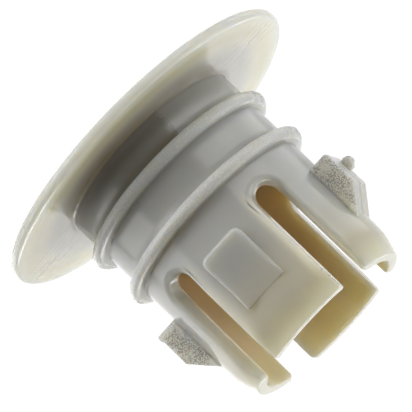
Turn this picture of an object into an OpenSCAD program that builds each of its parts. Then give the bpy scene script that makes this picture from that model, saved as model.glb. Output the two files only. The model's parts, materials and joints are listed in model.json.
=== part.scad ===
// Screw cover cap: a one-piece moulded plug that snaps into a round hole and hides the screw in it.
// It stands on the flange's outer face with its fingers up.
// The origin is the centre of that face, +Z runs along the plug, and lengths are in millimetres.
// Heights named "above the flange" are measured from the flange's underside, which seats on the panel.

/* [Flange] */
// Diameter of the round flange
flange_d = 20; // [16:0.5:30]
// Thickness of the flange
flange_t = 0.6; // [0.5:0.05:1.5]
// Radius of the flange's two rim edges
rim_r = 0.2; // [0.05:0.05:0.24]
// Thickness of the closed end, from the flange's outer face to the floor of the hollow
floor_t = 1; // [0.6:0.1:2]

/* [Tube] */
// Outer diameter of the tube at the flange
tube_d = 11.5; // [10:0.1:13]
// Wall thickness of the tube at the flange
wall = 1.15; // [0.8:0.05:1.8]
// Height of the finger tips above the flange
tip_h = 13.7; // [12.5:0.1:20]
// Draft of the tube's outer face, in degrees from the axis
draft = 0.6; // [0.1:0.05:1]
// Length of the lead-in taper at the finger tips
lead_l = 1.3; // [0.4:0.1:2]
// Angle of the lead-in taper, in degrees from the axis
lead_angle = 16.5; // [4:0.5:25]

/* [Sealing ribs] */
// Number of ribs round the neck
rib_count = 2; // [1:1:2]
// Height of the first rib's middle above the flange
rib_h = 2.3; // [1:0.05:3]
// Distance between the middles of neighbouring ribs
rib_pitch = 2.8; // [1:0.1:3]
// Width of a rib, which is also the width of its round crest
rib_w = 0.75; // [0.4:0.05:1]
// How far a rib stands out of the tube
rib_out = 0.7; // [0.45:0.05:1]

/* [Slots] */
// Width of the front and back fingers, between the two slots
finger_w = 5.15; // [4:0.05:6]
// Width of each slot at the tube's outer face
slot_w = 1.7; // [1:0.05:2]
// Height of the slots' round ends above the flange
slot_h = 6.6; // [6:0.1:8]
// Lean of each slot's wall on the side finger, in degrees: the slot narrows towards the hollow
slot_lean = 24; // [0:1:30]

/* [Catches] */
// Height of the catch faces of all fingers above the flange
catch_h = 7.55; // [7:0.05:9]
// Width of the barb on each side finger
barb_w = 3.1; // [1.5:0.1:4]
// How far the barb stands out of the tube
barb_out = 1.05; // [0.6:0.05:2]
// Length of the barb's flat top
barb_top_l = 2.15; // [1:0.05:3]
// Angle of the barb's ramp, in degrees from the axis
barb_ramp = 40; // [30:1:60]
// Width of the wedge pad on the front and back fingers
pad_w = 2.8; // [1.5:0.1:3.6]
// Length of the wedge pad
pad_l = 3.55; // [2:0.05:4.5]
// How far the wedge pad stands out of the tube at its catch face
pad_out = 0.45; // [0.2:0.05:0.8]
// Radius of the wedge pad's two corners at its catch face
pad_corner_r = 0.4; // [0.1:0.05:0.7]

/* [Hidden] */
$fn = 96;
flange_r = flange_d / 2;
bore_r = tube_d / 2 - wall;
// Radius inside the wall where everything that stands out of the tube is rooted
root_r = bore_r + wall / 2;
tip_z = flange_t + tip_h;
lead_z = tip_z - lead_l;
slot_z = flange_t + slot_h;
catch_z = flange_t + catch_h;
slot_x = finger_w / 2;
// Places of the edge where a slot's leaning wall meets the tube's outer face
lean_x = slot_x + slot_w;
lean_y = sqrt(pow(tube_r(slot_z), 2) - pow(lean_x, 2));
// Length beyond the part that lets a cut run right through
past = 1;

// Radius of the drafted outer face at height z
function tube_r(z) = tube_d / 2 - (z - flange_t) * tan(draft);

// Half section of the flange: a disc whose two rim edges are rounded
module flange_section() {
    square([flange_r - rim_r, flange_t]);
    translate([0, rim_r])
        square([flange_r, flange_t - 2 * rim_r]);
    for (z = [rim_r, flange_t - rim_r])
        translate([flange_r - rim_r, z])
            circle(rim_r);
}

// Half section of the tube: drafted outside, with the lead-in taper at the tips
module tube_section() {
    polygon([
        [0, 0],
        [tube_r(flange_t), 0],
        [tube_r(flange_t), flange_t],
        [tube_r(lead_z), lead_z],
        [tube_r(lead_z) - lead_l * tan(lead_angle), tip_z],
        [0, tip_z]
    ]);
}

// Half section of one rib: straight flanks and a round crest
module rib_section(z) {
    crest_x = tube_r(z) + rib_out - rib_w / 2;
    translate([root_r, z - rib_w / 2])
        square([crest_x - root_r, rib_w]);
    translate([crest_x, z])
        circle(rib_w / 2);
}

// Flange, tube and ribs turned in one go, with the blind hollow left open at the tips
module turned_body() {
    rotate_extrude()
        difference() {
            union() {
                flange_section();
                tube_section();
                for (i = [0 : rib_count - 1])
                    rib_section(flange_t + rib_h + i * rib_pitch);
            }
            translate([0, floor_t])
                square([bore_r, tip_z - floor_t + past]);
        }
}

// Barb of the side finger at +X: a catch face, a flat top and a ramp down to the tube
module barb() {
    top_x = tube_r(catch_z) + barb_out;
    top_z = catch_z + barb_top_l;
    translate([0, barb_w / 2, 0])
        rotate([90, 0, 0])
            linear_extrude(barb_w)
                polygon([
                    [root_r, catch_z],
                    [top_x, catch_z],
                    [top_x, top_z],
                    [root_r, top_z + (top_x - root_r) / tan(barb_ramp)]
                ]);
}

// Outline of a wedge pad seen from the front: round corners at its catch face
module pad_outline() {
    corner_x = pad_w / 2 - pad_corner_r;
    translate([-pad_w / 2, pad_corner_r])
        square([pad_w, pad_l - pad_corner_r]);
    translate([-corner_x, 0])
        square([2 * corner_x, pad_l]);
    for (side = [-1, 1])
        translate([side * corner_x, pad_corner_r])
            circle(pad_corner_r);
}

// Wedge pad of the finger at +Y: highest at its catch face and level with the tube at its other end
module wedge_pad() {
    end_z = catch_z + pad_l;
    top_r = tube_r(catch_z) + pad_out;
    intersection() {
        translate([0, 0, catch_z])
            rotate([90, 0, 180])
                linear_extrude(top_r)
                    pad_outline();
        translate([-pad_w, 0, 0])
            rotate([90, 0, 90])
                linear_extrude(2 * pad_w)
                    polygon([
                        [root_r, catch_z],
                        [top_r, catch_z],
                        [tube_r(end_z), end_z],
                        [root_r, end_z]
                    ]);
    }
}

// Slot pair at +X, cut right through front to back: round end, leaning wall on the side finger
module slot() {
    reach = tube_d;
    intersection() {
        translate([slot_x + slot_w / 2, reach, slot_z + slot_w / 2])
            rotate([90, 0, 0])
                linear_extrude(2 * reach) {
                    circle(slot_w / 2);
                    translate([-slot_w / 2, 0])
                        square([slot_w, tip_z - slot_z + past]);
                }
        linear_extrude(tip_z + 2 * past)
            polygon([
                [0, -reach],
                [lean_x + (reach - lean_y) * tan(slot_lean), -reach],
                [lean_x - lean_y * tan(slot_lean), 0],
                [lean_x + (reach - lean_y) * tan(slot_lean), reach],
                [0, reach]
            ]);
    }
}

module cover_cap() {
    color([0.7, 0.69, 0.63])
        difference() {
            union() {
                turned_body();
                for (turn = [0, 180])
                    rotate([0, 0, turn]) {
                        barb();
                        wedge_pad();
                    }
            }
            for (turn = [0, 180])
                rotate([0, 0, turn])
                    slot();
        }
}

cover_cap();
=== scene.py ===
"""Looks of the screw cover cap: a moulded snap-in plug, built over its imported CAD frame.

The file is laid out as an add-on and run as a script. Lengths are in metres where nothing else is
said, and every piece sits in the CAD frame: the flange's outer face on Z = 0, fingers up along +Z,
barbed fingers on X and padded fingers on Y. Angles round the axis start at -Y and turn towards +X.
"""

import json
import math

import bpy
import numpy as np
from mathutils import Matrix, Vector

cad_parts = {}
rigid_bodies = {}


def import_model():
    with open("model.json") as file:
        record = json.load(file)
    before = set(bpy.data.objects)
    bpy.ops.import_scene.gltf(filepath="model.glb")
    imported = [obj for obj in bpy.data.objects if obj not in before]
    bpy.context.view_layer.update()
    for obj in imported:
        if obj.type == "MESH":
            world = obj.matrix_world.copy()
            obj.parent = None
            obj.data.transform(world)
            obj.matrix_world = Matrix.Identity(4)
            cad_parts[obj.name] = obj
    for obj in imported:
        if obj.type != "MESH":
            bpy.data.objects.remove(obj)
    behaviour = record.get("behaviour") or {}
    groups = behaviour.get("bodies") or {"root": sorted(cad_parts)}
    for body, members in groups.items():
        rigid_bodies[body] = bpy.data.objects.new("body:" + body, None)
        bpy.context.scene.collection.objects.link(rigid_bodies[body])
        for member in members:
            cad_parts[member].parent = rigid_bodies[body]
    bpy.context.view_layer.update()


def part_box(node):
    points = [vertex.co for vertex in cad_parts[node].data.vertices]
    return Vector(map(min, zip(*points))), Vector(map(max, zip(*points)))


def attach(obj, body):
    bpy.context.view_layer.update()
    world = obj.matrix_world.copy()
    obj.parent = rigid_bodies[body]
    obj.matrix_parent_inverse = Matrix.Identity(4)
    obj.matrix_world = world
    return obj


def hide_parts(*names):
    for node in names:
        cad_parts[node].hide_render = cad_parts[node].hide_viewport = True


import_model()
CAD_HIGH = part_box("cover_cap")[1]

bl_info = {
    "name": "Screw Cover Cap",
    "version": (1, 0, 0),
    "blender": (4, 5, 0),
    "location": "View3D > Sidebar > Cover Cap",
    "description": "Builds a moulded screw cover cap over its CAD frame, with a studio stage",
    "category": "Add Mesh",
}

MM = 0.001
TURN = 2 * math.pi
PLASTIC_SLOT = "moulded_plastic"
BODY = "root"
MOULDING = "moulded_body"


def length(name, description, millimetres):
    """A length property whose default is given in millimetres."""
    return bpy.props.FloatProperty(
        name=name, description=description, default=millimetres * MM,
        min=0, precision=5, subtype="DISTANCE", unit="LENGTH")


def angle(name, description, degrees):
    """An angle property whose default is given in degrees."""
    return bpy.props.FloatProperty(
        name=name, description=description, default=math.radians(degrees),
        subtype="ANGLE", unit="ROTATION")


def share(name, description, value):
    """A number between 0 and 1."""
    return bpy.props.FloatProperty(
        name=name, description=description, default=value, min=0, max=1, subtype="FACTOR")


def colour(name, description, value):
    """A linear colour."""
    return bpy.props.FloatVectorProperty(
        name=name, description=description, default=value, min=0, max=1,
        size=3, subtype="COLOR")


class CapSizes(bpy.types.PropertyGroup):
    """Sizes of the moulded cap."""

    flange_r: length("Flange radius", "Radius of the round flange", CAD_HIGH.x / MM)
    flange_t: length("Flange thickness", "Thickness of the flange", 0.6)
    rim_r: length("Rim round", "Radius of the flange's two rim edges", 0.25)
    floor_t: length("Floor", "Thickness of the closed end", 1.0)
    neck_fillet: length("Neck fillet", "Fillet between neck and flange", 0.1)
    tube_r: length("Tube radius", "Outer radius of the tube at the flange", 5.75)
    bore_r: length("Hollow radius", "Radius of the hollow", 4.6)
    tip_z: length("Tip height", "Height of the finger tips", CAD_HIGH.z / MM)
    draft: angle("Draft", "Draft of the tube's outer face", 0.6)
    lead_l: length("Lead-in length", "Length of the taper at the finger tips", 1.3)
    lead_angle: angle("Lead-in angle", "Angle of the taper from the axis", 16.5)
    lead_soft: length("Lead-in softness", "Blend between tube and taper", 0.25)
    rib_h: length("First rib", "Height of the first rib above the flange", 2.3)
    rib_pitch: length("Rib pitch", "Distance between the two ribs", 2.8)
    rib_w: length("Rib width", "Width of a rib and of its round crest", 0.75)
    rib_out: length("Rib height", "How far a rib stands out of the tube", 0.7)
    rib_fillet: length("Rib fillet", "Fillet at the foot of a rib", 0.07)
    finger_w: length("Finger width", "Width of the padded fingers", 5.15)
    slot_w: length("Slot width", "Width of a slot at the tube's outer face", 1.7)
    slot_h: length("Slot end", "Height of the slots' round ends above the flange", 6.6)
    back_wider: length("Back finger extra", "How much wider the back finger is towards -X", 0.1)
    slot_narrower: length("Narrow slot", "How much narrower the front slot at -X is", 0.07)
    slot_lean: angle("Slot lean", "Lean of the slot wall on the barbed finger", 24)
    crisp_edge: length("Crisp edge", "Round of the padded fingers' edges", 0.09)
    soft_edge: length("Soft edge", "Round of the barbed fingers' slot edges", 0.38)
    end_edge: length("Slot end edge", "Round of the edge at the slots' ends", 0.34)
    inner_edge: length("Inner edge", "Round of the edges at the hollow", 0.08)
    catch_h: length("Catch height", "Height of the catch faces above the flange", 7.55)
    barb_w: length("Barb width", "Width of the barbs", 3.1)
    barb_out: length("Barb height", "How far a barb stands out of the tube", 1.05)
    barb_top_l: length("Barb top", "Length of a barb's flat top", 2.15)
    barb_ramp: angle("Barb ramp", "Angle of the barb's ramp from the axis", 40)
    barb_edge: length("Barb edge", "Round of the barb's long edges", 0.16)
    grain: length("Grain height", "Depth of the eroded grain on the barbs' sides", 0.03)
    ridge: length("Ridge height", "Height of the ridges along the barbs' ramps", 0.045)
    parting_grain: length("Parting grain", "Roughness of the ribs where the mould halves met", 0.045)
    pad_w: length("Pad width", "Width of the wedge pads", 2.8)
    pad_l: length("Pad length", "Length of the wedge pads", 3.55)
    pad_out: length("Pad height", "How far a pad stands out at its catch face", 0.45)
    pad_corner: length("Pad corner", "Radius of the pad's corners at its catch face", 0.45)
    pad_edge: length("Pad edge", "Round of the pad's top edges", 0.2)
    pad_shift: length("Pad shift", "How far the pads sit off their fingers' middle", 0.17)


class CapFinish(bpy.types.PropertyGroup):
    """Colours and gloss of the plastic, with the tones that paint glow, shade and highlight."""

    body: colour("Body", "Warm grey of the outer faces", (0.56, 0.57, 0.55))
    # Painted glow: the hollow's golden tan stands for light through the walls, lighter towards the tips
    hollow: colour("Hollow", "Golden tan of the hollow", (0.65, 0.55, 0.365))
    hollow_tip_glow: colour("Hollow tips", "Light gold of the hollow near the tips", (0.85, 0.765, 0.565))
    # Painted glow: the yellower grey of light through the finger tips, growing towards them
    tips: colour("Tips", "Yellower grey of the finger tips", (0.67, 0.65, 0.515))
    # Painted shade: the neck's brown grey stands for shade under the ribs, and also darkens the flange
    # beside the neck
    neck: colour("Neck", "Brown grey of the neck under the ribs", (0.27, 0.235, 0.165))
    # Painted glow: the flange's cream grey stands for light through the thin flange, growing towards its
    # rim
    flange: colour("Flange", "Cream grey of the thin flange", (0.69, 0.66, 0.50))
    # Painted glow: cream of light through the thin rim, the finger tips and the padded fingers' long edges
    thin: colour("Thin edges", "Cream of the thin rim and finger tips", (0.98, 0.95, 0.76))
    # Painted highlight where it pales the rib crests; on the rough rib ends and barb sides it is the
    # grain's pale colour
    crest: colour("Crests", "Pale grey of rib crests and barbs", (0.92, 0.92, 0.87))
    grain: colour("Grain", "Dark grey in the pits of the rough faces", (0.22, 0.21, 0.19))
    mark: colour("Marks", "Dark brown in the scratches and the parting line", (0.10, 0.09, 0.07))
    roughness: share("Roughness", "Roughness of the smooth faces", 0.13)
    grain_roughness: share("Grain roughness", "Roughness of the rough faces", 0.5)
    glow: share("Glow", "Share of light that scatters under the surface", 1.0)
    glow_depth: length("Glow depth", "How far light scatters under the surface", 2.0)
    glow_tint: colour("Glow tint", "Share of that depth for red, green and blue", (1.0, 0.86, 0.6))


class CapStage(bpy.types.PropertyGroup):
    """Camera and light of the studio."""

    azimuth: angle("Azimuth", "Camera's turn round the part", -8.565)
    elevation: angle("Elevation", "Camera's height over the floor", 12.7365)
    roll: angle("Roll", "Camera's roll", 134.0956)
    distance: length("Distance", "Distance of the camera from its aim", 174.06)
    lens_mm: bpy.props.FloatProperty(
        name="Lens", description="Focal length for a 36 mm sensor", default=281.3,
        subtype="DISTANCE_CAMERA")
    backdrop: colour("Backdrop", "Glow of the light table in full shadow", (0.96, 0.96, 0.96))
    table: colour("Table", "Colour of the light table's matt face", (0.1, 0.1, 0.1))


def smooth(low, high, value):
    """Smooth step from 0 at low to 1 at high."""
    t = np.clip((value - low) / (high - low), 0, 1)
    return t * t * (3 - 2 * t)


def value_noise(points, cell, seed):
    """Noise from -1 to 1: random numbers on a lattice of that cell size, blended smoothly between."""
    side = 32
    lattice = np.random.default_rng(seed).uniform(-1, 1, (side, side, side))
    scaled = points / cell
    base = np.floor(scaled).astype(int)
    part = scaled - base
    part = part * part * (3 - 2 * part)
    total = np.zeros(points.shape[:-1])
    for corner in np.ndindex(2, 2, 2):
        step = np.array(corner)
        weight = np.prod(np.where(step, part, 1 - part), axis=-1)
        cell_at = (base + step) % side
        total += weight * lattice[cell_at[..., 0], cell_at[..., 1], cell_at[..., 2]]
    return total


def cylindrical(radius, turn, z):
    """Points at a radius, an angle from -Y towards +X, and a height."""
    radius, turn, z = np.broadcast_arrays(radius, turn, z)
    return np.stack([radius * np.sin(turn), -radius * np.cos(turn), z], axis=-1)


def closed_grid(rows, first_pole, last_pole):
    """Vertices and faces of a closed surface: rows of points that wrap round, shut by two poles."""
    count, columns = rows.shape[:2]
    points = np.concatenate([rows.reshape(-1, 3), first_pole[None], last_pole[None]])
    index = np.arange(count * columns).reshape(count, columns)
    after = np.roll(index, -1, axis=1)
    quads = np.stack([index[:-1], after[:-1], after[1:], index[1:]], axis=-1).reshape(-1, 4)
    first = np.stack([np.full(columns, count * columns), after[0], index[0]], axis=-1)
    last = np.stack([np.full(columns, count * columns + 1), index[-1], after[-1]], axis=-1)
    return points, quads, np.concatenate([first, last])


def signed_volume(points, quads, triangles):
    """Volume inside a closed surface, negative where its faces point inwards."""
    faces = np.concatenate([quads[:, :3], quads[:, [0, 2, 3]], triangles])
    a, b, c = points[faces[:, 0]], points[faces[:, 1]], points[faces[:, 2]]
    return np.einsum("ij,ij->", a, np.cross(b, c)) / 6


def surface_object(name, rows, first_pole, last_pole, material, collection):
    """A smooth-shaded mesh object of a closed grid, with its faces outwards."""
    points, quads, triangles = closed_grid(rows, first_pole, last_pole)
    if signed_volume(points, quads, triangles) < 0:
        quads, triangles = quads[:, ::-1], triangles[:, ::-1]
    mesh = bpy.data.meshes.new(name)
    mesh.vertices.add(len(points))
    mesh.vertices.foreach_set("co", points.astype(np.float32).ravel())
    loops = np.concatenate([quads.ravel(), triangles.ravel()])
    starts = np.concatenate([
        np.arange(len(quads)) * 4,
        len(quads) * 4 + np.arange(len(triangles)) * 3])
    mesh.loops.add(len(loops))
    mesh.loops.foreach_set("vertex_index", loops.astype(np.int32))
    mesh.polygons.add(len(starts))
    mesh.polygons.foreach_set("loop_start", starts.astype(np.int32))
    mesh.polygons.foreach_set("use_smooth", np.ones(len(starts), dtype=bool))
    mesh.update(calc_edges=True)
    if mesh.validate():
        raise RuntimeError(f"{name}: the surface had faces that Blender had to mend")
    mesh.materials.append(material)
    piece = bpy.data.objects.new(name, mesh)
    collection.objects.link(piece)
    return piece


def standing_out():
    """The collection of the solids that stand out of the body until they are joined to it."""
    name = "standing_out"
    found = bpy.data.collections.get(name)
    if found is None:
        found = bpy.data.collections.new(name)
        bpy.context.scene.collection.children.link(found)
    return found


def outer_radius(s, z):
    """Drafted tube radius at height z; the taper at the tips joins it through a soft bend.

    The bend is half of (x + sqrt(x^2 + w^2)), which is 0 well below the bend and x well above it.
    """
    h = z - s.flange_t
    over = h - (s.tip_z - s.flange_t - s.lead_l)
    bend = 0.5 * (over + np.sqrt(over * over + s.lead_soft ** 2))
    slope = math.tan(s.lead_angle) - math.tan(s.draft)
    return s.tube_r - h * math.tan(s.draft) - bend * slope


def arc(centre_r, centre_z, radius, start, stop, count):
    """Section points (radius, height) on an arc, from one angle in degrees to another."""
    a = np.radians(np.linspace(start, stop, count))
    return np.stack([centre_r + radius * np.cos(a), centre_z + radius * np.sin(a)], axis=-1)


def rib_section(s, z):
    """Section of one rib: fillet, flank, round crest, flank, fillet."""
    foot = outer_radius(s, z)
    half, fillet = s.rib_w / 2, s.rib_fillet
    crest = foot + s.rib_out - half
    return np.concatenate([
        arc(foot + fillet, z - half - fillet, fillet, 180, 90, 3),
        arc(crest, z, half, -90, 90, 11),
        arc(foot + fillet, z + half + fillet, fillet, 270, 180, 3)])


def turned_section(s, ring_z):
    """Half section from the outer face over the rim, the underside, the neck and both ribs to ring_z."""
    edge = s.flange_r - s.rim_r
    foot = s.tube_r + s.neck_fillet
    face = np.array([0.05, 0.4, 0.8, 0.97]) * edge
    under = foot + (edge - foot) * np.array([0.97, 0.85, 0.6, 0.35, 0.1])
    first, second = s.flange_t + s.rib_h, s.flange_t + s.rib_h + s.rib_pitch
    reach = s.rib_w / 2 + s.rib_fillet
    neck_z = np.linspace(s.flange_t + s.neck_fillet, first - reach, 5)[1:-1]
    waist_z = np.linspace(first + reach, second - reach, 5)[1:-1]
    ring = np.linspace(second + reach, ring_z, 3)[1:]
    stack = [
        np.stack([face, np.zeros_like(face)], axis=-1),
        arc(edge, s.rim_r, s.rim_r, -90, 0, 6),
        arc(edge, s.flange_t - s.rim_r, s.rim_r, 0, 90, 6),
        np.stack([under, np.full_like(under, s.flange_t)], axis=-1),
        arc(foot, s.flange_t + s.neck_fillet, s.neck_fillet, -90, -180, 4),
        np.stack([outer_radius(s, neck_z), neck_z], axis=-1),
        rib_section(s, first),
        np.stack([outer_radius(s, waist_z), waist_z], axis=-1),
        rib_section(s, second),
        np.stack([outer_radius(s, ring), ring], axis=-1)]
    return np.concatenate(stack)


class FingerEdge:
    """A quarter of the castellated edge, from a padded finger's middle to a barbed finger's middle.

    Stations run along the tip, round the corner, down the slot wall, round the slot's end, up the
    barbed finger's leaning wall, round its corner and along its tip. Each has a height, an angle on
    the outer face and one on the hollow, the direction into the material on the unrolled face, the
    angle at which its column leaves the ring below the slots, and the rounds of its two edges.
    """

    # Stations in each stretch, and the angles on the ring between which the stretches' columns leave it
    COUNTS = (10, 6, 26, 22, 26, 6, 15)
    RING_TURNS = np.radians([0, 7, 11, 27, 49, 68, 73, 90])
    # Half axes of the oval whose normals the edge's round follows at a slot's end
    END_OVAL = (1.08, 0.85)

    def __init__(self, s, padded_corner, barbed_corner, wider=0.0, narrower=0.0):
        lean_x = s.finger_w / 2 + s.slot_w - narrower
        self.half_w = s.finger_w / 2 + wider
        slot_z = s.flange_t + s.slot_h
        lean_y = math.sqrt(outer_radius(s, slot_z) ** 2 - lean_x ** 2)
        self.offset = lean_x * math.cos(s.slot_lean) - lean_y * math.sin(s.slot_lean)
        self.s = s
        end_z = slot_z + s.slot_w / 2
        c1, c2 = padded_corner, barbed_corner
        ramp = [np.linspace(0, 1, n, endpoint=False) for n in self.COUNTS]
        ramp[-1] = np.linspace(0, 1, self.COUNTS[-1])
        bend1 = np.radians(90 - 90 * ramp[1])
        sweep = np.radians(180 + 180 * ramp[3])
        bend2 = np.radians(180 - 90 * ramp[5])
        flat = np.zeros_like
        self.z = np.concatenate([
            flat(ramp[0]) + s.tip_z,
            s.tip_z - c1 + c1 * np.sin(bend1),
            s.tip_z - c1 + (end_z - s.tip_z + c1) * ramp[2],
            end_z + s.slot_w / 2 * np.sin(sweep),
            end_z + (s.tip_z - c2 - end_z) * ramp[4],
            s.tip_z - c2 + c2 * np.sin(bend2),
            flat(ramp[6]) + s.tip_z])
        # Share of the way from the padded finger's wall to the barbed finger's wall
        self.across = np.concatenate([
            flat(ramp[0]), flat(ramp[1]), flat(ramp[2]), (1 + np.cos(sweep)) / 2,
            flat(ramp[4]) + 1, flat(ramp[5]) + 1, flat(ramp[6]) + 1])
        # Distance from the walls into the fingers, in corner radii, and the share of the tip walked
        self.inset1 = np.concatenate([
            flat(ramp[0]) + 1, 1 - np.cos(bend1)] + [flat(r) for r in ramp[2:]]) * c1
        self.inset2 = np.concatenate(
            [flat(r) for r in ramp[:5]] + [1 + np.cos(bend2), flat(ramp[6]) + 1]) * c2
        self.tip1 = np.concatenate([1 - ramp[0]] + [flat(r) for r in ramp[1:]])
        self.tip2 = np.concatenate([flat(r) for r in ramp[:6]] + [ramp[6]])
        wide, deep = self.END_OVAL
        lean = np.stack([np.cos(sweep) / wide, np.sin(sweep) / deep])
        lean /= np.linalg.norm(lean, axis=0)
        self.into = np.concatenate([
            np.stack([flat(ramp[0]), flat(ramp[0]) - 1]),
            np.stack([-np.cos(bend1), -np.sin(bend1)]),
            np.stack([flat(ramp[2]) - 1, flat(ramp[2])]),
            lean,
            np.stack([flat(ramp[4]) + 1, flat(ramp[4])]),
            np.stack([-np.cos(bend2), -np.sin(bend2)]),
            np.stack([flat(ramp[6]), flat(ramp[6]) - 1])], axis=1)
        self.ring = np.concatenate([
            low + (high - low) * r
            for low, high, r in zip(self.RING_TURNS, self.RING_TURNS[1:], ramp)])
        stops = np.cumsum((0,) + self.COUNTS)
        station = np.arange(stops[-1])
        # Round of the outer edge along the stations: crisp, wide at the slot's end, soft, crisp again
        knots, rounds = zip(
            (0, s.crisp_edge), (stops[3] - 6, s.crisp_edge), (stops[3] + 5, s.end_edge),
            (stops[4] - 3, s.end_edge), (stops[4] + 6, s.soft_edge), (stops[5] - 4, s.soft_edge),
            (stops[5] + 3, s.crisp_edge * 1.3), (stops[7], s.crisp_edge))
        self.outer_round = np.interp(station, knots, rounds)
        self.outer_turn = self.turns(outer_radius(s, self.z))
        self.inner_turn = self.turns(np.full_like(self.z, s.bore_r))

    def turns(self, radius):
        """Angle of each station on a face of that radius: a blend of the slot's walls, plus the insets.

        A padded finger's wall is the plane x = half its width, at asin(x / radius); a barbed finger's
        wall is a plane that leans, at lean + asin(offset / radius).
        """
        wall1 = np.arcsin(self.half_w / radius)
        wall2 = self.s.slot_lean + np.arcsin(self.offset / radius)
        turn = wall1 + (wall2 - wall1) * self.across
        turn = turn - self.inset1 / radius + self.inset2 / radius
        turn = np.where(self.tip1 > 0, turn * (1 - self.tip1), turn)
        return turn + (TURN / 4 - turn) * self.tip2


def loop_of_quarters(quarters, read, mirror_sign=1, turning=False):
    """One closed row from four quarters of the edge; the second and fourth run backwards, mirrored."""
    parts = []
    for number, quarter in enumerate(quarters):
        row = read(quarter)
        if number % 2:
            row = row[-2:0:-1]
            row = TURN / 2 - row if turning else row * mirror_sign
        parts.append(row + TURN / 2 * (number // 2) if turning else row)
    return np.concatenate(parts)


def rounded_edge(start, corner, stop, count):
    """Rows from start to stop that round a corner: a conic through both with the corner as its handle."""
    t = np.linspace(0, 1, count)[:, None, None]
    handle = math.sqrt(0.5)
    b0, b1, b2 = (1 - t) ** 2, 2 * handle * t * (1 - t), t ** 2
    return (b0 * start + b1 * corner + b2 * stop) / (b0 + b1 + b2)


def rows_to_edge(run, count, supports):
    """Shares of the way along columns of the given lengths: even steps, then steps close to the end."""
    even = np.linspace(0, 1, count)[:, None] * (1 - supports[0] / run)
    close = np.stack([1 - distance / run for distance in supports[1:]])
    return np.concatenate([even, close, np.ones((1, len(run)))])


def roughen_ribs(s, rows):
    """Push the ribs in and out where the two mould halves met: seeded noise near the plane y = 0."""
    radius = np.hypot(rows[..., 0], rows[..., 1])
    proud = radius - outer_radius(s, rows[..., 2])
    on_rib = smooth(0.1 * MM, 0.3 * MM, proud) * smooth(1.0 * MM, 1.3 * MM, rows[..., 2] - s.flange_t)
    near = smooth(1.5 * MM, 0.5 * MM, np.abs(rows[..., 1]))
    fine, coarse = value_noise(rows, 0.14 * MM, 21), value_noise(rows, 0.33 * MM, 22)
    grain = fine + 0.7 * coarse
    rows[..., :2] *= (1 + s.parting_grain * grain * near * on_rib / radius)[..., None]
    return rows


def finger_edges(s):
    """The four quarters of the edge: front to +X, +X to back, back to -X, -X to front.

    Each has the corner radii of its padded and its barbed finger's tip, which differ a little.
    """
    return [
        FingerEdge(s, 0.16 * MM, 0.26 * MM), FingerEdge(s, 0.32 * MM, 0.26 * MM),
        FingerEdge(s, 0.2 * MM, 0.26 * MM, wider=s.back_wider),
        FingerEdge(s, 0.16 * MM, 0.3 * MM, narrower=s.slot_narrower)]


def cap_body_rows(s):
    """Rows of the whole moulding: section rows to the ring, finger faces, rounded edges, hollow."""
    quarters = finger_edges(s)

    def row(read, **kind):
        return loop_of_quarters(quarters, read, **kind)

    z = row(lambda q: q.z)
    outer_turn = row(lambda q: q.outer_turn, turning=True)
    inner_turn = row(lambda q: q.inner_turn, turning=True)
    ring_turn = row(lambda q: q.ring, turning=True)
    into_turn = row(lambda q: q.into[0], mirror_sign=-1)
    into_z = row(lambda q: q.into[1])
    outer_round = row(lambda q: q.outer_round)
    inner_round = np.full_like(outer_round, s.inner_edge)
    above_rib = 0.25 * MM
    ring_z = s.flange_t + s.rib_h + s.rib_pitch + s.rib_w / 2 + above_rib
    section = turned_section(s, ring_z)
    turned = roughen_ribs(s, cylindrical(section[:, :1], ring_turn[None], section[:, 1:]))

    edge_r = outer_radius(s, z)
    start_turn = outer_turn + outer_round * into_turn / edge_r
    start_z = z + outer_round * into_z
    run = np.hypot((start_turn - ring_turn) * edge_r, start_z - ring_z)
    t = rows_to_edge(run, 26, (0.3 * MM, 0.14 * MM, 0.05 * MM))[1:]
    face_turn = ring_turn + (start_turn - ring_turn) * t
    face_z = ring_z + (start_z - ring_z) * t
    fingers = cylindrical(outer_radius(s, face_z), face_turn, face_z)

    outer_edge = cylindrical(edge_r, outer_turn, z)
    inner_edge = cylindrical(s.bore_r, inner_turn, z)
    wall = inner_edge - outer_edge
    wall /= np.linalg.norm(wall, axis=-1, keepdims=True)
    wall_start = outer_edge + wall * outer_round[:, None]
    wall_stop = inner_edge - wall * inner_round[:, None]
    outer_bend = rounded_edge(fingers[-1], outer_edge, wall_start, 8)[1:]
    across = np.linspace(0, 1, 5)[1:-1, None, None]
    walls = wall_start + (wall_stop - wall_start) * across
    hollow_turn = inner_turn + inner_round * into_turn / s.bore_r
    hollow_z = z + inner_round * into_z
    inner_start = cylindrical(s.bore_r, hollow_turn, hollow_z)
    inner_bend = rounded_edge(wall_stop, inner_edge, inner_start, 5)

    run = np.hypot((hollow_turn - ring_turn) * s.bore_r, hollow_z - ring_z)
    t = rows_to_edge(run, 12, (0.3 * MM, 0.12 * MM))[::-1][1:]
    inside = cylindrical(
        s.bore_r, ring_turn + (hollow_turn - ring_turn) * t, ring_z + (hollow_z - ring_z) * t)
    corner = 0.3 * MM
    deep = np.linspace(ring_z, s.floor_t + corner, 4)[1:-1]
    floor_section = np.concatenate([
        np.stack([np.full_like(deep, s.bore_r), deep], axis=-1),
        arc(s.bore_r - corner, s.floor_t + corner, corner, 0, -90, 4),
        np.stack([s.bore_r * np.array([0.6, 0.1]), np.full(2, s.floor_t)], axis=-1)])
    floor = cylindrical(floor_section[:, :1], ring_turn[None], floor_section[:, 1:])
    return np.concatenate([turned, fingers, outer_bend, walls, inner_bend, inside, floor])


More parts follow.
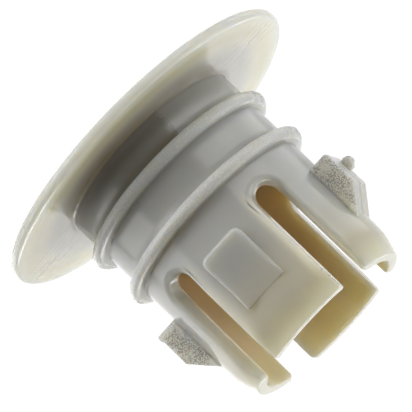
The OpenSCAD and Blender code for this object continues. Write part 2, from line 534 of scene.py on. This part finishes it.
def rounded_outline(corners, radii, spacing):
    """Closed outline of a polygon with round corners, in equal steps, and its outward normals.

    Each corner's arc is the circle of its radius that touches both sides, and the straight sides run
    between the arcs; the points are then spread evenly along the length.
    """
    corners = np.asarray(corners, dtype=float)
    pieces = []
    for before, here, after, radius in zip(np.roll(corners, 1, 0), corners, np.roll(corners, -1, 0), radii):
        a = (before - here) / np.linalg.norm(before - here)
        b = (after - here) / np.linalg.norm(after - here)
        half = math.acos(np.clip(a @ b, -1, 1)) / 2
        middle = here + (a + b) / np.linalg.norm(a + b) * radius / math.sin(half)
        start, stop = here + a * radius / math.tan(half), here + b * radius / math.tan(half)
        first = math.atan2(*(start - middle)[::-1])
        swing = (math.atan2(*(stop - middle)[::-1]) - first + math.pi) % TURN - math.pi
        bend = first + swing * np.linspace(0, 1, 24)
        pieces.append(middle + radius * np.stack([np.cos(bend), np.sin(bend)], axis=-1))
    path = np.concatenate(pieces)
    path = np.concatenate([path, path[:1]])
    walked = np.concatenate([[0], np.cumsum(np.linalg.norm(np.diff(path, axis=0), axis=1))])
    even = np.linspace(0, walked[-1], int(walked[-1] / spacing) + 1)[:-1]
    points = np.stack([np.interp(even, walked, path[:, k]) for k in range(2)], axis=-1)
    along = np.roll(points, -1, 0) - np.roll(points, 1, 0)
    along /= np.linalg.norm(along, axis=1, keepdims=True)
    normals = np.stack([along[:, 1], -along[:, 0]], axis=-1)
    return points, normals


def barb_rows(s, side):
    """Rows of one barb: its side profile carried across its width, with round long edges.

    Rows grow from a pole on the near side face to the profile, turn the round edge, cross the width
    and shrink to a pole on the far face. Seeded noise lifts the grain on both side faces, and a few
    sines across the width lift the ridges on the ramp.
    """
    catch = s.flange_t + s.catch_h
    in_wall, spacing = 0.45 * MM, 0.065 * MM
    root = s.bore_r + in_wall
    top = outer_radius(s, catch) + s.barb_out
    crest_z = catch + s.barb_top_l
    foot_z = crest_z + (top - root) / math.tan(s.barb_ramp)
    outline, normal = rounded_outline(
        [(root, catch), (top, catch), (top, crest_z), (root, foot_z)],
        [0.1 * MM, 0.2 * MM, 0.3 * MM, 0.1 * MM], spacing)
    edge, half = s.barb_edge, s.barb_w / 2
    inset = outline - normal * edge
    centre = inset.mean(axis=0)
    grow = np.linspace(0, 1, 21)[1:, None, None]
    face = centre + (inset - centre) * grow
    bend = np.radians(np.linspace(0, 90, 6))[1:, None, None]
    turned = inset + normal * edge * np.sin(bend)
    near_y = np.concatenate([np.full(len(face), -half), -half + edge * (1 - np.cos(bend[:, 0, 0]))])
    near = np.concatenate([face, turned])
    across_y = np.linspace(-half + edge, half - edge, 32)[1:-1]
    across = np.broadcast_to(outline, (len(across_y),) + outline.shape)
    flat = np.concatenate([near, across, near[::-1]])
    y = np.concatenate([near_y, across_y, -near_y[::-1]])[:, None] + np.zeros(flat.shape[:2])
    points = np.stack([flat[..., 0], y, flat[..., 1]], axis=-1)
    on_face = np.zeros(len(flat))
    on_face[:len(face)] = on_face[-len(face):] = 1
    grain = value_noise(points, 0.1 * MM, 11) * 0.7 + value_noise(points, 0.19 * MM, 12)
    points[..., 1] += s.grain * grain * on_face[:, None] * np.sign(y)
    ridge = 0.7 - np.abs(np.sin(y / MM * 3.0 + 0.5)) + 0.2 * np.sin(y / MM * 9.3 + 2.0)
    lift = smooth(half, half - 3 * edge, np.abs(y)) * smooth(catch, catch + 1.2 * MM, points[..., 2])
    away = np.concatenate([np.zeros((len(near), 1)), np.ones((len(across), 1)), np.zeros((len(near), 1))])
    shift = (s.ridge * ridge * lift * away)[..., None] * np.stack(
        [normal[:, 0], np.zeros(len(normal)), normal[:, 1]], axis=-1)
    points = points + shift
    poles = [np.array([centre[0], end * half, centre[1]]) for end in (-1, 1)]
    turn = np.array([side, side, 1])
    return points * turn, poles[0] * turn, poles[1] * turn


def pad_rows(s, side):
    """Rows of one wedge pad: a flat wedge over a round-cornered outline, with round top edges.

    Rows grow from a pole on the wedge's face to the outline, turn the round edge, go down into the
    finger and shrink to a pole inside the wall.
    """
    catch = s.flange_t + s.catch_h
    end = catch + s.pad_l
    half, narrow = s.pad_w / 2, s.pad_w / 2 - 0.03 * MM
    low_corner, least_edge, spacing = 0.12 * MM, 0.04 * MM, 0.08 * MM
    outline, normal = rounded_outline(
        [(-half, catch), (half, catch), (narrow, end), (-narrow, end)],
        [s.pad_corner, s.pad_corner, low_corner, low_corner], spacing)
    edge = s.pad_edge * smooth(end + 0.1 * MM, end - 1.2 * MM, outline[:, 1]) + least_edge
    inset = outline - normal * edge[:, None]
    centre = inset.mean(axis=0)
    grow = np.linspace(0, 1, 16)[1:, None, None]
    face = centre + (inset - centre) * grow
    bend = np.radians(np.linspace(0, 90, 8))[1:, None, None]
    turned = inset + normal * edge[:, None] * np.sin(bend)
    drop = np.concatenate([np.zeros((len(face), 1)) + 0 * edge, edge * (1 - np.cos(bend[..., 0]))])
    flat = np.concatenate([face, turned])
    high = outer_radius(s, catch) + s.pad_out
    proud, in_wall = 0.02 * MM, 0.5 * MM
    low = outer_radius(s, end) + proud
    depth = high + (low - high) * (flat[..., 1] - catch) / s.pad_l - drop
    root = s.bore_r + in_wall
    down = np.linspace(0, 1, 6)[1:, None]
    side_depth = depth[-1] + (root - depth[-1]) * down
    sides = np.broadcast_to(outline, (len(down),) + outline.shape)
    shut = centre + (outline - centre) * np.linspace(1, 0, 5)[1:-1, None, None]
    flat = np.concatenate([flat, sides, shut])
    depth = np.concatenate([depth, side_depth, np.full(shut.shape[:2], root)])
    points = np.stack([flat[..., 0] + s.pad_shift, -depth, flat[..., 1]], axis=-1)
    middle = high + (low - high) * (centre[1] - catch) / s.pad_l
    poles = [np.array([centre[0] + s.pad_shift, -y, centre[1]]) for y in (middle, root)]
    turn = np.array([side, side, 1])
    return points * turn, poles[0] * turn, poles[1] * turn


def lump_rows(centre, radii, seed):
    """Rows of a lump of flash: an ellipsoid whose radius swells and dips with seeded noise.

    Each row is a circle of latitude about X, so the polar angle gives its place on X and its size.
    """
    polar = np.linspace(0, math.pi, 16)[:, None]
    turn = np.linspace(0, TURN, 24, endpoint=False)[None]
    way = np.stack(np.broadcast_arrays(
        np.cos(polar), np.sin(polar) * np.cos(turn), np.sin(polar) * np.sin(turn)), axis=-1)
    swell = 1 + 0.25 * value_noise(way, 0.8, seed)[..., None]
    points = np.asarray(centre) * MM + way * np.asarray(radii) * MM * swell
    return points[1:-1], points[0, 0], points[-1, 0]


def burr_rows(s, heights):
    """Rows of the burrs on a finger's long edge: a thin thread along the edge with beads at the heights.

    The thread's radius is a small constant plus a bell curve round each height, and each row is a
    circle about a point of the edge where the finger's wall meets the tube's outer face.
    """
    bead_l, thin, outside, sunk = 0.075, 0.012, 0.01 * MM, 0.05 * MM
    z = np.linspace(min(heights) - 0.4, max(heights) + 0.2, 64) * MM
    beads = np.exp(-((z[:, None] / MM - np.asarray(heights)) / bead_l) ** 2)
    bead_size = np.random.default_rng(31).uniform(0.05, 0.09, len(heights))
    thread = (thin + beads @ bead_size) * MM
    x = np.full_like(z, -s.finger_w / 2 - outside)
    y = -np.sqrt(outer_radius(s, z) ** 2 - x ** 2) + sunk
    turn = np.linspace(0, TURN, 12, endpoint=False)
    points = np.stack(np.broadcast_arrays(
        x[:, None] + thread[:, None] * np.cos(turn), y[:, None] + thread[:, None] * np.sin(turn),
        z[:, None]), axis=-1)
    ends = np.stack([x, y, z], axis=-1)
    return points[1:-1], ends[0], ends[-1]


class Flow:
    """A value in a shader tree: arithmetic on it adds Math nodes, and node() adds any other node."""

    def __init__(self, tree, socket=None):
        self.tree = tree
        self.socket = socket

    def node(self, kind, settings=None, inputs=None, output=0):
        """Add a node: its settings first, then the values and links of its sockets."""
        made = self.tree.nodes.new(kind)
        for name, value in (settings or {}).items():
            setattr(made, name, value)
        for name, value in (inputs or {}).items():
            self.feed(made.inputs[name], value)
        return Flow(self.tree, made.outputs[output] if len(made.outputs) else None)

    def feed(self, target, value):
        """Link a Flow to a socket, or set the socket's own value."""
        if isinstance(value, Flow):
            self.tree.links.new(value.socket, target)
        else:
            target.default_value = value

    def maths(self, operation, first, second=0.0):
        """A Math node of two values."""
        return self.node("ShaderNodeMath", {"operation": operation}, {0: first, 1: second})

    def __add__(self, other):
        return self.maths("ADD", self, other)

    def __radd__(self, other):
        return self.maths("ADD", other, self)

    def __sub__(self, other):
        return self.maths("SUBTRACT", self, other)

    def __rsub__(self, other):
        return self.maths("SUBTRACT", other, self)

    def __mul__(self, other):
        return self.maths("MULTIPLY", self, other)

    def __rmul__(self, other):
        return self.maths("MULTIPLY", other, self)

    def __pow__(self, other):
        return self.maths("POWER", self, other)

    def step(self, low, high):
        """Smooth step of this value, from 0 at low to 1 at high; it falls where low is above high."""
        ends = {"From Min": low, "From Max": high, "To Min": 0.0, "To Max": 1.0}
        if low > high:
            ends = {"From Min": high, "From Max": low, "To Min": 1.0, "To Max": 0.0}
        return self.node(
            "ShaderNodeMapRange", {"interpolation_type": "SMOOTHSTEP"}, {"Value": self, **ends})

    def mixed(self, factor, first, second):
        """A colour between two colours."""
        return self.node(
            "ShaderNodeMix", {"data_type": "RGBA"}, {"Factor": factor, 6: first, 7: second}, output=2)


def rgba(shade):
    """A colour with full alpha."""
    return (*shade, 1.0)


def noise(flow, place, scale, detail):
    """Noise about 0.5 whose lumps are about 1 / scale millimetres wide."""
    return flow.node("ShaderNodeTexNoise", {}, {"Vector": place, "Scale": scale, "Detail": detail})


class CapZones:
    """Masks over the cap, 0 outside a zone and 1 inside it, from Object coordinates in millimetres.

    Each step gives where a zone begins and where it is full, by the radius round the axis, by the
    height z, or by x or y squared, which take both sides of the cap at once.
    """

    def __init__(self, flow):
        spot = flow.node("ShaderNodeTexCoord", output=3)
        self.place = flow.node(
            "ShaderNodeVectorMath", {"operation": "SCALE"}, {0: spot, "Scale": 1 / MM})
        x = flow.node("ShaderNodeSeparateXYZ", inputs={0: self.place})
        y, z = (Flow(flow.tree, x.socket.node.outputs[k]) for k in (1, 2))
        x2, y2 = x * x, y * y
        radius = (x2 + y2) ** 0.5
        self.x, self.y, self.z, self.y2, self.radius = x, y, z, y2, radius
        # The masks of the tips, their edges, the flange, the rim and beside the slots place painted glow;
        # the one beside the neck places painted shade; the rib mask also places painted highlight
        low = z.step(0.9, 0.7)
        self.tip = z.step(8.5, 14.3)
        self.glow_at_tip_edge = z.step(12.8, 14.2)
        self.flange = low * radius.step(7.0, 8.7)
        self.shade_beside_neck = low * radius.step(8.3, 6.6)
        self.rim = radius.step(8.5, 9.9)
        self.rib = radius.step(5.85, 6.3) * radius.step(6.7, 6.5) * z.step(2.0, 2.4) * z.step(7.5, 7.0)
        self.rib_end = y2.step(2.6, 1.0) * self.rib
        self.neck = radius.step(5.3, 5.6) * radius.step(6.5, 5.9) * z.step(0.6, 0.7) * z.step(2.75, 2.4)
        self.hollow = radius.step(4.8, 4.62) * z.step(0.7, 1.2)
        self.glow_beside_slot = x2.step(3.6, 6.4) * x2.step(7.2, 6.7) * z.step(6.8, 8.2)
        self.barb_side = (
            y2.step(1.9, 2.25) * x2.step(16.0, 20.0) * radius.step(5.7, 5.8) * z.step(8.05, 8.2))
        self.underside = z.step(0.45, 0.55) * z.step(1.0, 0.8)
        self.polished = self.underside * radius.step(5.95, 6.1) * radius.step(9.6, 8.6)


def base_tone(flow, zones, finish, cloud, speck, dust):
    """Colour before marks and grain: grey body, painted shade on the neck and beside it, painted glow at
    the thin places, the tips, the flange and in the hollow, painted highlight on the rib crests, clouds.
    """
    # Painted glow: light that soaks in at the rim, the padded fingers' long edges and the tips is painted
    # as paler cream
    edge = flow.maths("MAXIMUM", zones.glow_beside_slot * 0.4, zones.glow_at_tip_edge * 0.55)
    pale = flow.maths("MINIMUM", zones.rim + edge, 1.0)
    # Painted shade: the neck is a little browner all round, much browner at its front where no softbox is
    # mirrored in it, as far as a ragged line on its right, and most under the rib that shades it
    line_turn = math.radians(27)
    past_line = zones.x * math.cos(line_turn) - zones.y * math.sin(line_turn)
    front = (past_line + (speck - 0.5) * 0.8).step(-0.1, 0.25) * zones.x.step(4.6, 1.2)
    brown = zones.neck * (0.1 + front * (0.5 + zones.z.step(1.5, 2.3) * 0.3))
    layers = (
        # Painted glow towards the tips
        (zones.tip, finish.tips),
        # Painted shade on the neck
        (brown, finish.neck),
        # Painted glow on the flange, towards its rim
        (zones.flange, finish.flange),
        # Painted shade of the neck on the flange beside it
        (zones.shade_beside_neck * 0.3, finish.neck),
        # Painted highlight on the rib crests, patchy with noise
        (zones.rib * (0.4 + dust.step(0.45, 0.65) * 0.4), finish.crest),
        (pale, finish.thin))
    tone = rgba(finish.body)
    for mask, shade in layers:
        tone = flow.mixed(mask, tone, rgba(shade))
    # Painted glow in the hollow: golden tan, lighter towards the tips
    gold = flow.mixed(zones.tip, rgba(finish.hollow), rgba(finish.hollow_tip_glow))
    tone = flow.mixed(zones.hollow, tone, gold)
    darker = tuple(0.86 * c for c in finish.body)
    return flow.mixed(cloud.step(0.35, 0.75) * 0.18, tone, rgba(darker))


def mould_marks(flow, zones):
    """Traces where the mould halves met, y = 0: the scratches alone, and all marks together.

    Scratches are noise drawn out along x on the flange. A line that wanders about y = 0 breaks where
    the scratches fade, and a thin seam crosses the neck.
    """
    radius = zones.radius
    drawn = flow.node("ShaderNodeCombineXYZ", inputs={0: zones.x * 0.45, 1: zones.y * 4.5, 2: 0.0})
    streak = noise(flow, drawn, 1.0, 3.0)
    scratched = zones.y2.step(9.0, 1.0) * radius.step(5.9, 6.4) * radius.step(9.8, 9.2) * zones.underside
    scratch = streak.step(0.52, 0.64) * scratched
    wander = flow.node(
        "ShaderNodeTexNoise", {"noise_dimensions": "1D"}, {"W": zones.x * 0.7, "Detail": 1.0})
    off_line = zones.y + (wander - 0.5) * 0.5
    line = (off_line * off_line).step(0.012, 0.001) * radius.step(7.3, 7.9) * radius.step(9.75, 9.4)
    line = line * zones.underside * (0.35 + streak.step(0.4, 0.6) * 0.65)
    seam = zones.y2.step(0.01, 0.001) * zones.neck * zones.x.step(-1.0, -3.0) * 0.7
    return scratch, flow.maths("MAXIMUM", flow.maths("MAXIMUM", scratch * 0.4, line), seam)


def plastic(name, finish):
    """Translucent moulded plastic: warm grey, with painted glow (tan in the hollow, cream at thin edges),
    painted shade at the neck, grained in places.
    """
    material = bpy.data.materials.new(name)
    material.use_nodes = True
    tree = material.node_tree
    tree.nodes.clear()
    flow = Flow(tree)
    zones = CapZones(flow)
    cloud, coarse, speck, dust = (
        noise(flow, zones.place, scale, detail)
        for scale, detail in ((0.35, 3.0), (1.6, 2.0), (9.0, 2.0), (15.0, 2.0)))
    tone = base_tone(flow, zones, finish, cloud, speck, dust)
    scratch, mark = mould_marks(flow, zones)
    tone = flow.mixed(mark * 0.6, tone, rgba(finish.mark))

    # Rough patches, the rib ends and the eroded sides of the barbs, have a net of pits
    rough = flow.maths("MAXIMUM", zones.rib_end, zones.barb_side)
    pits = flow.node(
        "ShaderNodeTexVoronoi", {"feature": "F1"},
        {"Vector": zones.place, "Scale": 12.5, "Randomness": 1.0})
    hole = pits.step(0.42, 0.62) * coarse.step(0.3, 0.6) * rough
    tone = flow.mixed(rough * (0.5 + pits.step(0.55, 0.25) * 0.35), tone, rgba(finish.crest))
    tone = flow.mixed(hole * 0.6, tone, rgba(finish.grain))
    relief = speck * 0.05 + dust * zones.rib * 0.2 + cloud * 0.1
    relief = relief - (pits * 0.5 + hole * 0.5) * rough - mark * 0.4
    bump = flow.node(
        "ShaderNodeBump", {}, {"Strength": 0.5, "Distance": 0.1 * MM, "Height": relief})
    gloss = finish.roughness + speck * 0.04 + cloud.step(0.4, 0.7) * 0.04
    gloss = gloss * (1.0 - zones.polished * 0.65) + scratch * 0.15
    gloss = gloss + rough * (finish.grain_roughness - finish.roughness)
    shader = flow.node("ShaderNodeBsdfPrincipled", {}, {
        "Base Color": tone, "Roughness": gloss, "Normal": bump, "IOR": 1.42,
        "Coat Weight": zones.polished * 0.6, "Coat Roughness": 0.08,
        "Subsurface Weight": finish.glow, "Subsurface Radius": finish.glow_tint,
        "Subsurface Scale": finish.glow_depth})
    flow.node("ShaderNodeOutputMaterial", inputs={"Surface": shader})
    return material


class CAP_OT_body(bpy.types.Operator):
    """Build the body: flange, ribbed neck, slotted fingers and hollow, as one surface"""

    bl_idname = "cover_cap.body"
    bl_label = "Body"

    def execute(self, context):
        s = context.scene.cap_sizes
        outer, floor = np.zeros(3), np.array([0, 0, s.floor_t])
        material = plastic(PLASTIC_SLOT, context.scene.cap_finish)
        surface_object(MOULDING, cap_body_rows(s), outer, floor, material, context.scene.collection)
        return {"FINISHED"}


class CAP_OT_barbs(bpy.types.Operator):
    """Build the two barbs on the side fingers"""

    bl_idname = "cover_cap.barbs"
    bl_label = "Barbs"

    def execute(self, context):
        s, material = context.scene.cap_sizes, bpy.data.materials[PLASTIC_SLOT]
        for name, side in (("barb_plus_x", 1), ("barb_minus_x", -1)):
            surface_object(name, *barb_rows(s, side), material, standing_out())
        return {"FINISHED"}


class CAP_OT_pads(bpy.types.Operator):
    """Build the two wedge pads on the front and back fingers"""

    bl_idname = "cover_cap.pads"
    bl_label = "Wedge Pads"

    def execute(self, context):
        s, material = context.scene.cap_sizes, bpy.data.materials[PLASTIC_SLOT]
        for name, side in (("pad_front", 1), ("pad_back", -1)):
            surface_object(name, *pad_rows(s, side), material, standing_out())
        return {"FINISHED"}


class CAP_OT_flash(bpy.types.Operator):
    """Build the flash that the mould left: lumps on the barbs and burrs on the front finger"""

    bl_idname = "cover_cap.flash"
    bl_label = "Flash and Burrs"

    # Middle and radii of each lump in millimetres
    LUMPS = {
        "flash_minus_x": ((-6.89, 1.15, 8.92), (0.34, 0.42, 0.38)),
        "flash_plus_x": ((6.62, -1.40, 8.38), (0.17, 0.17, 0.24)),
    }
    BURR_HEIGHTS = (12.98, 13.27, 13.48, 13.8, 14.01)

    def execute(self, context):
        s, material = context.scene.cap_sizes, bpy.data.materials[PLASTIC_SLOT]
        for seed, (name, (centre, radii)) in enumerate(self.LUMPS.items()):
            surface_object(name, *lump_rows(centre, radii, 40 + seed), material, standing_out())
        surface_object("finger_burrs", *burr_rows(s, self.BURR_HEIGHTS), material, standing_out())
        return {"FINISHED"}


class CAP_OT_join(bpy.types.Operator):
    """Join what stands out to the body, because the moulding is one solid"""

    bl_idname = "cover_cap.join"
    bl_label = "Join Moulding"

    CREASE = math.radians(40)

    def execute(self, context):
        body, others = bpy.data.objects[MOULDING], standing_out()
        union = body.modifiers.new("union", "BOOLEAN")
        union.operation = "UNION"
        union.solver = "EXACT"
        union.operand_type = "COLLECTION"
        union.collection = others
        graph = context.evaluated_depsgraph_get()
        whole = bpy.data.meshes.new_from_object(body.evaluated_get(graph))
        body.modifiers.clear()
        first, body.data = body.data, whole
        bpy.data.meshes.remove(first)
        for part in list(others.objects):
            bpy.data.meshes.remove(part.data)
        bpy.data.collections.remove(others)
        whole.set_sharp_from_angle(angle=self.CREASE)
        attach(body, BODY)
        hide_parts("cover_cap")
        return {"FINISHED"}


def towards(azimuth, elevation):
    """Direction at an azimuth, 0 at -Y and turning towards +X, and an elevation over the floor."""
    flat = math.cos(elevation)
    return Vector((math.sin(azimuth) * flat, -math.cos(azimuth) * flat, math.sin(elevation)))


def camera_axes(stage):
    """Right, up and back of a camera at that azimuth and elevation, rolled about its line of sight."""
    r = stage.roll
    back = towards(stage.azimuth, stage.elevation)
    level = Vector((math.cos(stage.azimuth), math.sin(stage.azimuth), 0))
    rise = back.cross(level)
    right = level * math.cos(r) + rise * math.sin(r)
    up = rise * math.cos(r) - level * math.sin(r)
    return right, up, back


class CAP_OT_stage(bpy.types.Operator):
    """Set up the floor, the soft lights and the camera"""

    bl_idname = "cover_cap.stage"
    bl_label = "Stage"

    AIM = Vector((0, 0, 7 * MM))
    # Where the picture's middle lies from the aim, along the camera's right and up
    FRAMING = (-1.471 * MM, 1.4026 * MM)
    # Softboxes round the part: azimuth and elevation in degrees, width and height in metres, watts
    SOFTBOXES = {
        "back": (180, 38, 0.16, 0.16, 0.204),
        "back_left": (144, 38, 0.16, 0.16, 0.358),
        "back_top": (216, 66, 0.16, 0.16, 0.196),
        "far_left": (108, 38, 0.16, 0.16, 0.062),
        "right": (252, 38, 0.16, 0.16, 0.239),
        "right_front": (288, 38, 0.16, 0.16, 0.092),
        "strip_right": (296, -13, 0.28, 0.06, 0.17),
        "strip_far_right": (246, -13, 0.28, 0.06, 0.08),
        "strip_left": (73, -13, 0.28, 0.06, 0.13),
        "rim_left": (120, -12, 0.15, 0.15, 0.08),
        "rim_back": (150, -12, 0.15, 0.15, 0.054),
        "under_front": (36, -38, 0.16, 0.16, 0.257),
        "under_right": (288, -38, 0.16, 0.16, 0.095),
        "under_strip": (20, -50, 0.6, 0.12, 0.4145),
    }
    REACH = 0.3
    # Half of the floor's side, and how far it lies under the flange so that they don't share a plane
    FLOOR_HALF = 1.5
    FLOOR_DROP = 0.02 * MM

    def execute(self, context):
        stage = context.scene.cap_stage
        self.add_floor(stage)
        self.add_world()
        for name, (azimuth, elevation, width, height, power) in self.SOFTBOXES.items():
            spot = self.AIM + self.REACH * towards(math.radians(azimuth), math.radians(elevation))
            self.add_softbox(name, spot, (width, height), power)
        self.add_camera(stage, *camera_axes(stage))
        context.scene.view_settings.view_transform = "Standard"
        return {"FINISHED"}

    def add_camera(self, stage, right, up, back):
        """Camera at its distance from the aim, turned so that the framing point is in the middle."""
        spot = self.AIM + back * stage.distance
        target = self.AIM + right * self.FRAMING[0] + up * self.FRAMING[1]
        view_back = (spot - target).normalized()
        view_right = (right - view_back * right.dot(view_back)).normalized()
        view_up = view_back.cross(view_right)
        data = bpy.data.cameras.new("camera")
        data.sensor_width = 36
        data.lens = stage.lens_mm
        data.clip_start = 10 * MM
        camera = bpy.data.objects.new("camera", data)
        turn = Matrix((view_right, view_up, view_back)).transposed()
        camera.matrix_world = Matrix.Translation(spot) @ turn.to_4x4()
        bpy.context.scene.collection.objects.link(camera)
        bpy.context.scene.camera = camera

    def add_softbox(self, name, spot, size, power):
        """Rectangular soft light that faces the part."""
        data = bpy.data.lights.new(name, "AREA")
        data.shape = "RECTANGLE"
        data.size, data.size_y = size
        data.energy = power
        light = bpy.data.objects.new(name, data)
        light.location = spot
        light.rotation_euler = (self.AIM - spot).to_track_quat("-Z", "Y").to_euler()
        bpy.context.scene.collection.objects.link(light)

    def add_floor(self, stage):
        """Wide light table under the flange: white in the picture, clear to the rays that light the part.

        Reflections look through it too, and see the white world and the softboxes under it.
        """
        half, low = self.FLOOR_HALF, -self.FLOOR_DROP
        mesh = bpy.data.meshes.new("floor")
        mesh.from_pydata(
            [(-half, -half, low), (half, -half, low), (half, half, low), (-half, half, low)],
            [], [(0, 1, 2, 3)])
        material = bpy.data.materials.new("light_table")
        material.use_nodes = True
        material.cycles.emission_sampling = "NONE"
        tree = material.node_tree
        tree.nodes.clear()
        flow = Flow(tree)
        matt = flow.node("ShaderNodeBsdfDiffuse", {}, {"Color": rgba(stage.table)})
        white = flow.node("ShaderNodeEmission", {}, {"Color": rgba(stage.backdrop), "Strength": 1.0})
        top = flow.node("ShaderNodeAddShader", {}, {0: matt, 1: white})
        clear = flow.node("ShaderNodeBsdfTransparent")
        surface = flow.node("ShaderNodeMixShader", {}, {0: self.shown(flow, False), 1: clear, 2: top})
        flow.node("ShaderNodeOutputMaterial", inputs={"Surface": surface})
        mesh.materials.append(material)
        floor = bpy.data.objects.new("floor", mesh)
        bpy.context.scene.collection.objects.link(floor)

    @staticmethod
    def shown(flow, in_reflections):
        """1 for rays that show the backdrop: camera and transmission rays, and glossy ones if asked."""
        camera = flow.node("ShaderNodeLightPath")
        outputs = camera.socket.node.outputs
        total = camera + Flow(flow.tree, outputs["Is Transmission Ray"])
        if in_reflections:
            total = total + Flow(flow.tree, outputs["Is Glossy Ray"])
        return flow.maths("MINIMUM", total, 1.0)

    def add_world(self):
        """White surroundings that the camera and reflections see, and that give no light of their own."""
        world = bpy.data.worlds.new("studio")
        world.use_nodes = True
        world.cycles.sampling_method = "NONE"
        tree = world.node_tree
        tree.nodes.clear()
        flow = Flow(tree)
        dark = flow.node("ShaderNodeBackground", {}, {"Color": (1, 1, 1, 1), "Strength": 0.0})
        white = flow.node("ShaderNodeBackground", {}, {"Color": (1, 1, 1, 1), "Strength": 1.0})
        both = flow.node("ShaderNodeMixShader", {}, {0: self.shown(flow, True), 1: dark, 2: white})
        flow.node("ShaderNodeOutputWorld", inputs={"Surface": both})
        bpy.context.scene.world = world


class CAP_PT_panel(bpy.types.Panel):
    """Cover cap tools in the sidebar"""

    bl_label = "Cover Cap"
    bl_idname = "CAP_PT_panel"
    bl_space_type = "VIEW_3D"
    bl_region_type = "UI"
    bl_category = "Cover Cap"

    def draw(self, context):
        for operator in OPERATORS:
            self.layout.operator(operator.bl_idname)
        for group, kind in GROUPS.items():
            settings = getattr(context.scene, group)
            for name in kind.__annotations__:
                self.layout.prop(settings, name)


OPERATORS = (CAP_OT_body, CAP_OT_barbs, CAP_OT_pads, CAP_OT_flash, CAP_OT_join, CAP_OT_stage)
GROUPS = {"cap_sizes": CapSizes, "cap_finish": CapFinish, "cap_stage": CapStage}


def register():
    """Register the classes and hang the settings on the scene."""
    for cls in (*GROUPS.values(), *OPERATORS, CAP_PT_panel):
        bpy.utils.register_class(cls)
    for name, group in GROUPS.items():
        setattr(bpy.types.Scene, name, bpy.props.PointerProperty(type=group))


def unregister():
    """Take the settings and the classes away again."""
    for name in GROUPS:
        delattr(bpy.types.Scene, name)
    for cls in reversed((*GROUPS.values(), *OPERATORS, CAP_PT_panel)):
        bpy.utils.unregister_class(cls)


def main():
    """Build everything in order."""
    register()
    bpy.ops.cover_cap.body()
    bpy.ops.cover_cap.barbs()
    bpy.ops.cover_cap.pads()
    bpy.ops.cover_cap.flash()
    bpy.ops.cover_cap.join()
    bpy.ops.cover_cap.stage()


if __name__ == "__main__":
    main()
